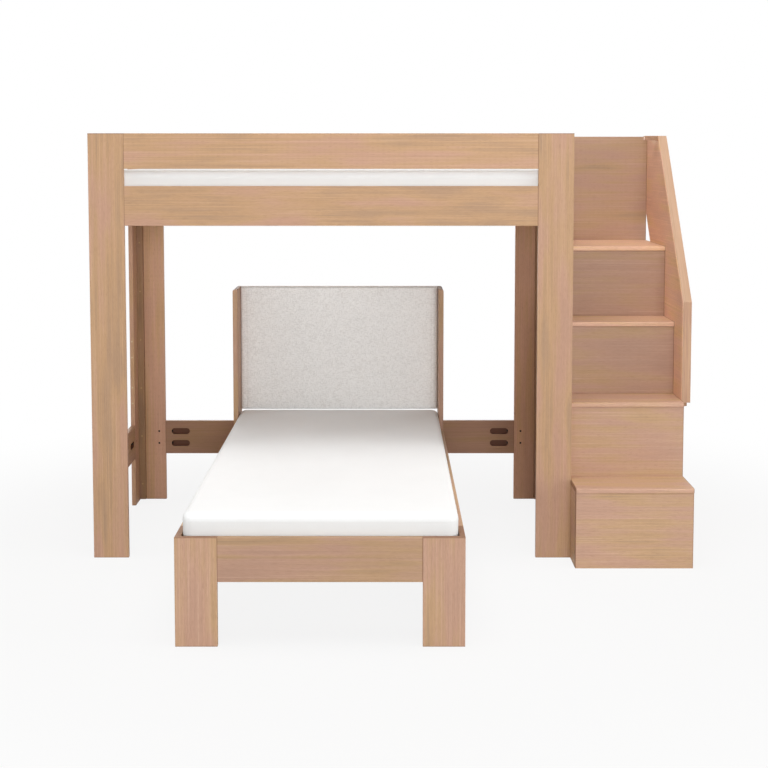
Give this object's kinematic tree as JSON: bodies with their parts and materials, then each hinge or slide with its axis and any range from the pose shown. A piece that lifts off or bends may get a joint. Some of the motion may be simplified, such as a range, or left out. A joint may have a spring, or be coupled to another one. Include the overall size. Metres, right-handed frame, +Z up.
{
  "type": "l-shaped bunk bed",
  "caption": "Wooden loft bed with a closed stair at one end and a second bed with a padded headboard standing across it underneath.",
  "frame": {"origin": "on the floor, below the middle of the whole bed's outline", "axes": "+X to the right along the loft bed towards the stair, +Y to the back, +Z up"},
  "size_m": [2.558, 2.065, 1.802],
  "materials": {
    "waxed_wood": "satin",
    "inner_wood": "raw",
    "pale_plug_wood": "raw",
    "steel_fastener": "zinc plated",
    "headboard_fabric": "tweed weave",
    "mattress_ticking": "smooth knitted ticking"
  },
  "bodies": {
    "loft_and_stair": {"loft_battens_and_ledgers": "inner_wood", "loft_bolts_and_barrel_nuts": "steel_fastener", "loft_edge_plugs": "pale_plug_wood", "loft_entry_stile": "waxed_wood", "loft_front_guard_rail": "waxed_wood", "loft_front_side_rail": "waxed_wood", "loft_left_end_rail": "waxed_wood", "loft_left_guard_rail": "waxed_wood", "loft_left_stretcher": "waxed_wood", "loft_post_front_left_face_plank": "waxed_wood", "loft_post_front_left_side_plank": "waxed_wood", "loft_post_front_right_face_plank": "waxed_wood", "loft_post_front_right_side_plank": "waxed_wood", "loft_post_rear_left_face_plank": "waxed_wood", "loft_post_rear_left_side_plank": "waxed_wood", "loft_post_rear_right_face_plank": "waxed_wood", "loft_post_rear_right_side_plank": "waxed_wood", "loft_rear_guard_rail": "waxed_wood", "loft_rear_side_rail": "waxed_wood", "loft_rear_stretcher": "waxed_wood", "loft_right_end_rail": "waxed_wood", "loft_right_guard_rail": "waxed_wood", "loft_right_stretcher": "waxed_wood", "loft_screws": "steel_fastener", "loft_slats": "inner_wood", "stair_back_panel": "waxed_wood", "stair_cleats": "inner_wood", "stair_guard_board": "waxed_wood", "stair_guard_ledge": "waxed_wood", "stair_guard_top_cleat": "waxed_wood", "stair_left_side_panel": "waxed_wood", "stair_rear_guard_panel": "waxed_wood", "stair_right_side_panel": "waxed_wood", "stair_riser_1": "waxed_wood", "stair_riser_2": "waxed_wood", "stair_riser_3": "waxed_wood", "stair_riser_4": "waxed_wood", "stair_screws_and_tie_bolts": "steel_fastener", "stair_tread_1": "waxed_wood", "stair_tread_2": "waxed_wood", "stair_tread_3": "waxed_wood", "stair_tread_4": "waxed_wood"},
    "lower_bed": {"bed_battens_and_ledgers": "inner_wood", "bed_bolts_and_barrel_nuts": "steel_fastener", "bed_front_rail": "waxed_wood", "bed_head_rail": "waxed_wood", "bed_left_side_rail": "waxed_wood", "bed_leg_left_face_plank": "waxed_wood", "bed_leg_left_side_plank": "waxed_wood", "bed_leg_right_face_plank": "waxed_wood", "bed_leg_right_side_plank": "waxed_wood", "bed_right_side_rail": "waxed_wood", "bed_screws": "steel_fastener", "bed_slats": "inner_wood", "headboard_pad": "headboard_fabric", "headboard_panel": "waxed_wood", "headboard_wing_left": "waxed_wood", "headboard_wing_right": "waxed_wood"},
    "upper_mattress": {"upper_mattress": "mattress_ticking"},
    "lower_mattress": {"lower_mattress": "mattress_ticking"}
  },
  "joints": [
    {"name": "lower_bed_pull_out", "type": "slide", "parent": "loft_and_stair", "child": "lower_bed", "axis": [0, -1, 0], "range_m": [0, 0.9]},
    {"name": "upper_mattress_lift", "type": "slide", "parent": "loft_and_stair", "child": "upper_mattress", "axis": [0, 0, 1], "range_m": [0, 0.34]},
    {"name": "lower_mattress_lift", "type": "slide", "parent": "lower_bed", "child": "lower_mattress", "axis": [0, 0, 1], "range_m": [0, 0.15]}
  ]
}
